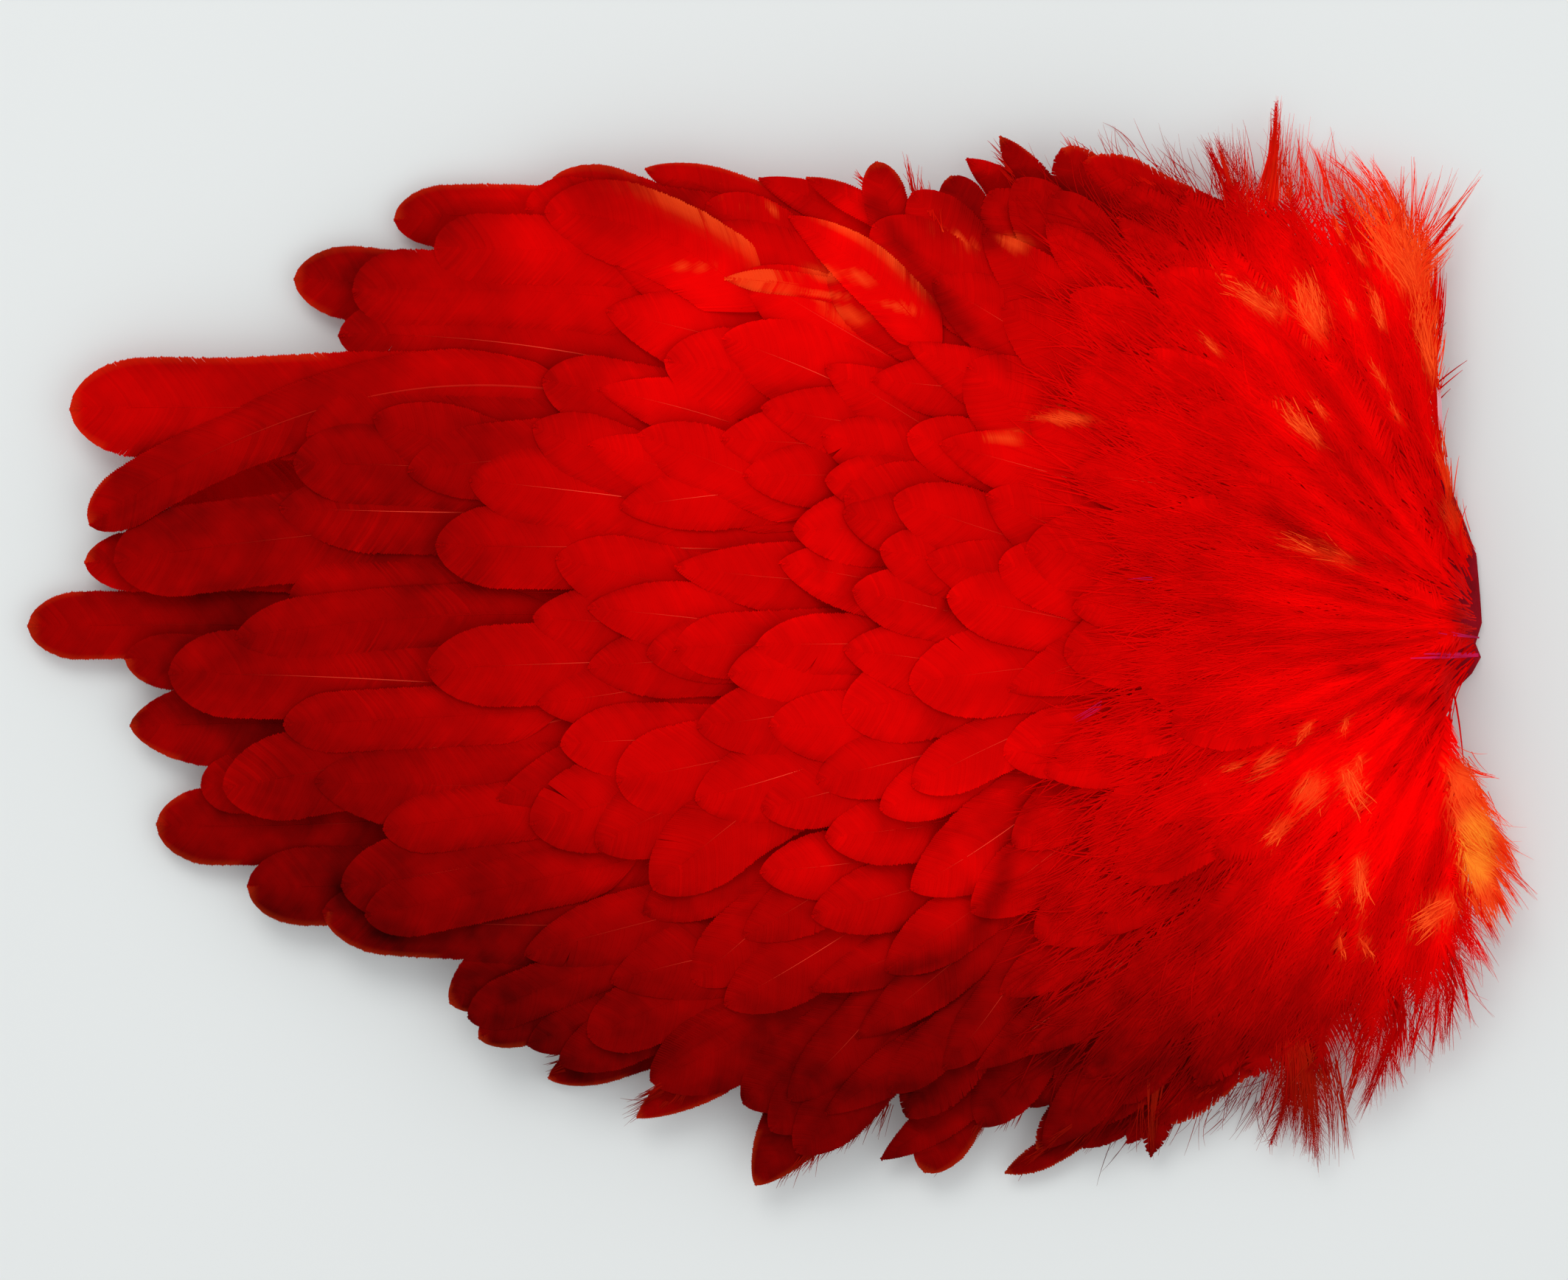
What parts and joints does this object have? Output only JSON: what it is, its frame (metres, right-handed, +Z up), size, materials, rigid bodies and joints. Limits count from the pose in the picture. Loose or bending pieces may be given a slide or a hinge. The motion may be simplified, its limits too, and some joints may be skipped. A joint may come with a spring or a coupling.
{
  "type": "hen saddle hackle",
  "caption": "Flat dyed patch of hen skin with overlapping soft feathers fanning back from its bare front end, lying feather side up.",
  "frame": {"origin": "on the underside of the skin, below the middle of the patch, where it rests", "axes": "+X towards the skin's bare front end, against the lie of the feathers; +Z up, out of the feather side"},
  "size_m": [0.1624, 0.1201, 0.0121],
  "materials": {
    "skin": "dyed dried hide, matt, dark crimson",
    "feather": "dyed contour feathers, soft sheen, deep red with paler shafts",
    "down": "dyed downy feathers, fluffy and matt, orange red"
  },
  "bodies": {
    "root": {"skin": "skin", "saddle_feather_01": "feather", "saddle_feather_02": "feather", "saddle_feather_03": "feather", "saddle_feather_04": "feather", "saddle_feather_05": "feather", "saddle_feather_06": "feather", "saddle_feather_07": "feather", "saddle_feather_08": "feather", "saddle_feather_09": "feather", "saddle_feather_10": "feather", "lower_flank_feather_01": "feather", "lower_flank_feather_02": "feather", "lower_flank_feather_03": "feather", "lower_flank_feather_04": "feather", "lower_flank_feather_05": "feather", "lower_flank_feather_06": "feather", "lower_flank_feather_07": "feather", "lower_flank_feather_08": "feather", "lower_flank_feather_09": "feather", "upper_flank_feather_01": "feather", "upper_flank_feather_02": "feather", "upper_flank_feather_03": "feather", "upper_flank_feather_04": "feather", "upper_flank_feather_05": "feather", "upper_flank_feather_06": "feather", "upper_flank_feather_07": "feather", "upper_flank_feather_08": "feather", "upper_flank_feather_09": "feather", "upper_flank_feather_10": "feather", "upper_flank_feather_11": "feather", "lower_down_tuft_01": "down", "lower_down_tuft_02": "down", "lower_down_tuft_03": "down", "lower_down_tuft_04": "down", "lower_down_tuft_05": "down", "lower_down_tuft_06": "down", "lower_down_tuft_07": "down", "lower_down_tuft_08": "down", "upper_down_tuft_01": "down", "upper_down_tuft_02": "down", "upper_down_tuft_03": "down", "upper_down_tuft_04": "down", "upper_down_tuft_05": "down", "upper_down_tuft_06": "down", "cover_feather_01": "feather", "cover_feather_02": "feather", "cover_feather_03": "feather", "cover_feather_04": "feather", "cover_feather_05": "feather", "cover_feather_06": "feather", "cover_feather_07": "feather", "cover_feather_08": "feather", "cover_feather_09": "feather", "cover_feather_10": "feather", "cover_feather_11": "feather", "cover_feather_12": "feather", "cover_feather_13": "feather", "cover_feather_14": "feather", "cover_feather_15": "feather"}
  },
  "joints": []
}
